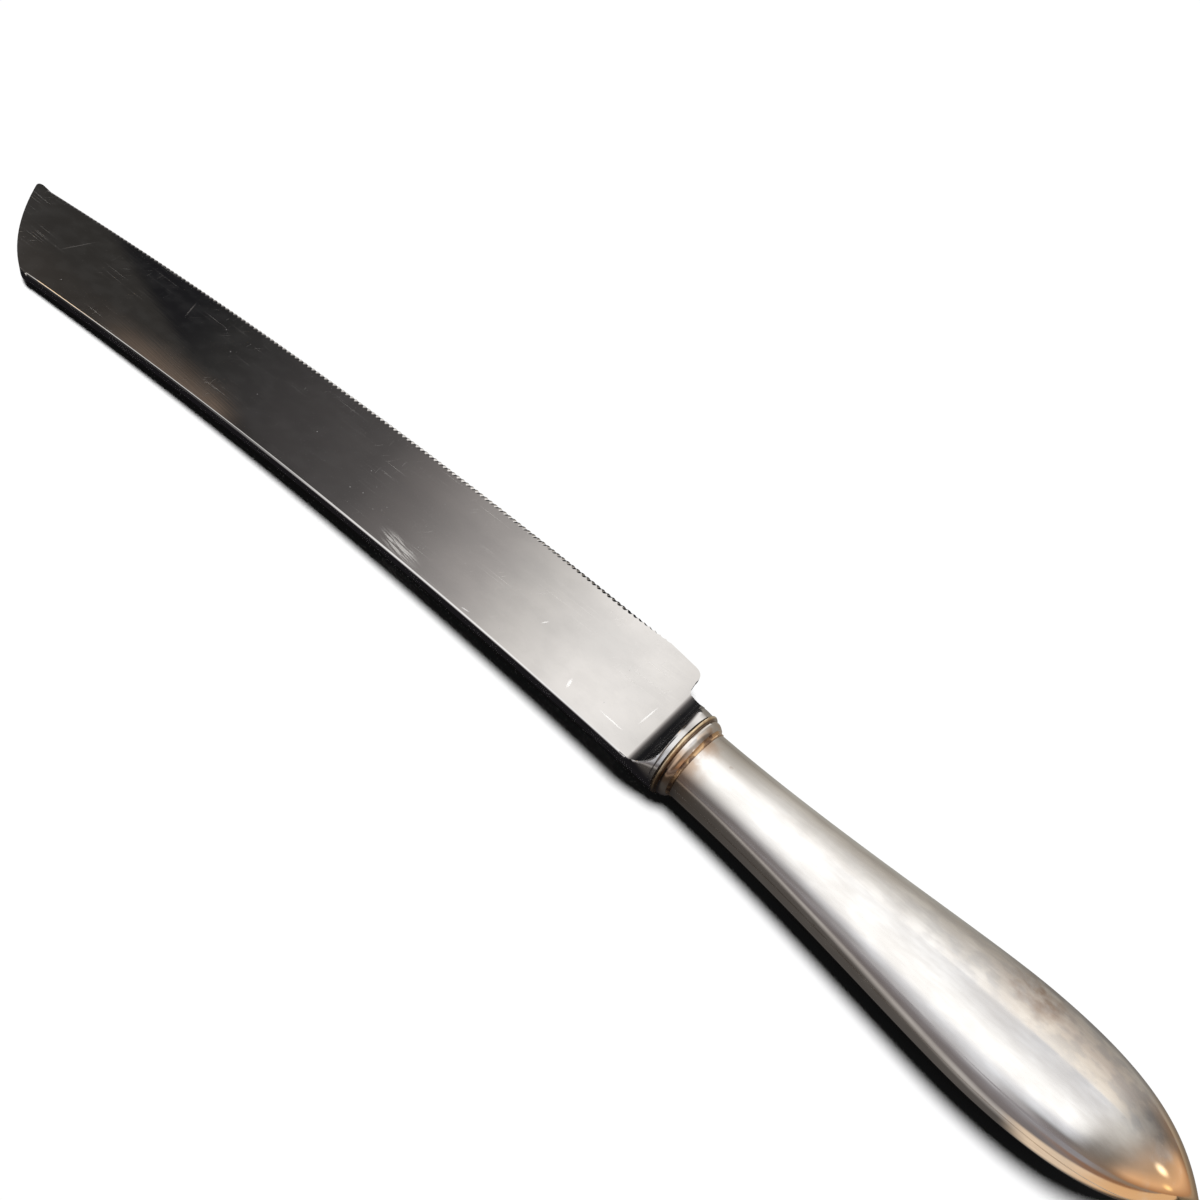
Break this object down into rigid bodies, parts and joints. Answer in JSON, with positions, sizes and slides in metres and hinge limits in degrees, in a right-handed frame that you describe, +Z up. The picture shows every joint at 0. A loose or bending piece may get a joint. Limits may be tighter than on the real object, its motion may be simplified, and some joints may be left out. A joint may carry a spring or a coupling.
{
  "type": "cake knife",
  "caption": "Cake knife with a long flat serrated steel blade, a coved bolster, a banded collar and a hollow silver handle that swells to a rounded butt.",
  "frame": {"origin": "bottom centre of the bounding box, with the knife lying on its side on a table", "axes": "+X towards the butt of the handle, +Y towards the cutting edge, +Z up from the table"},
  "size_m": [0.308, 0.0392, 0.0191],
  "materials": {
    "blade_steel": "mirror-polished stainless steel with fine scratches",
    "handle_silver": "polished silver, lightly tarnished",
    "ring_brass": "polished brass",
    "solder": "dull brown-gold solder",
    "cement": "matt cutler's cement"
  },
  "bodies": {
    "root": {"blade": "blade_steel", "bolster_ring": "ring_brass", "collar": "handle_silver", "collar_solder": "solder", "handle_shell_upper": "handle_silver", "handle_shell_lower": "handle_silver", "seam_solder_spine": "solder", "seam_solder_edge": "solder", "handle_filler": "cement"}
  },
  "joints": []
}
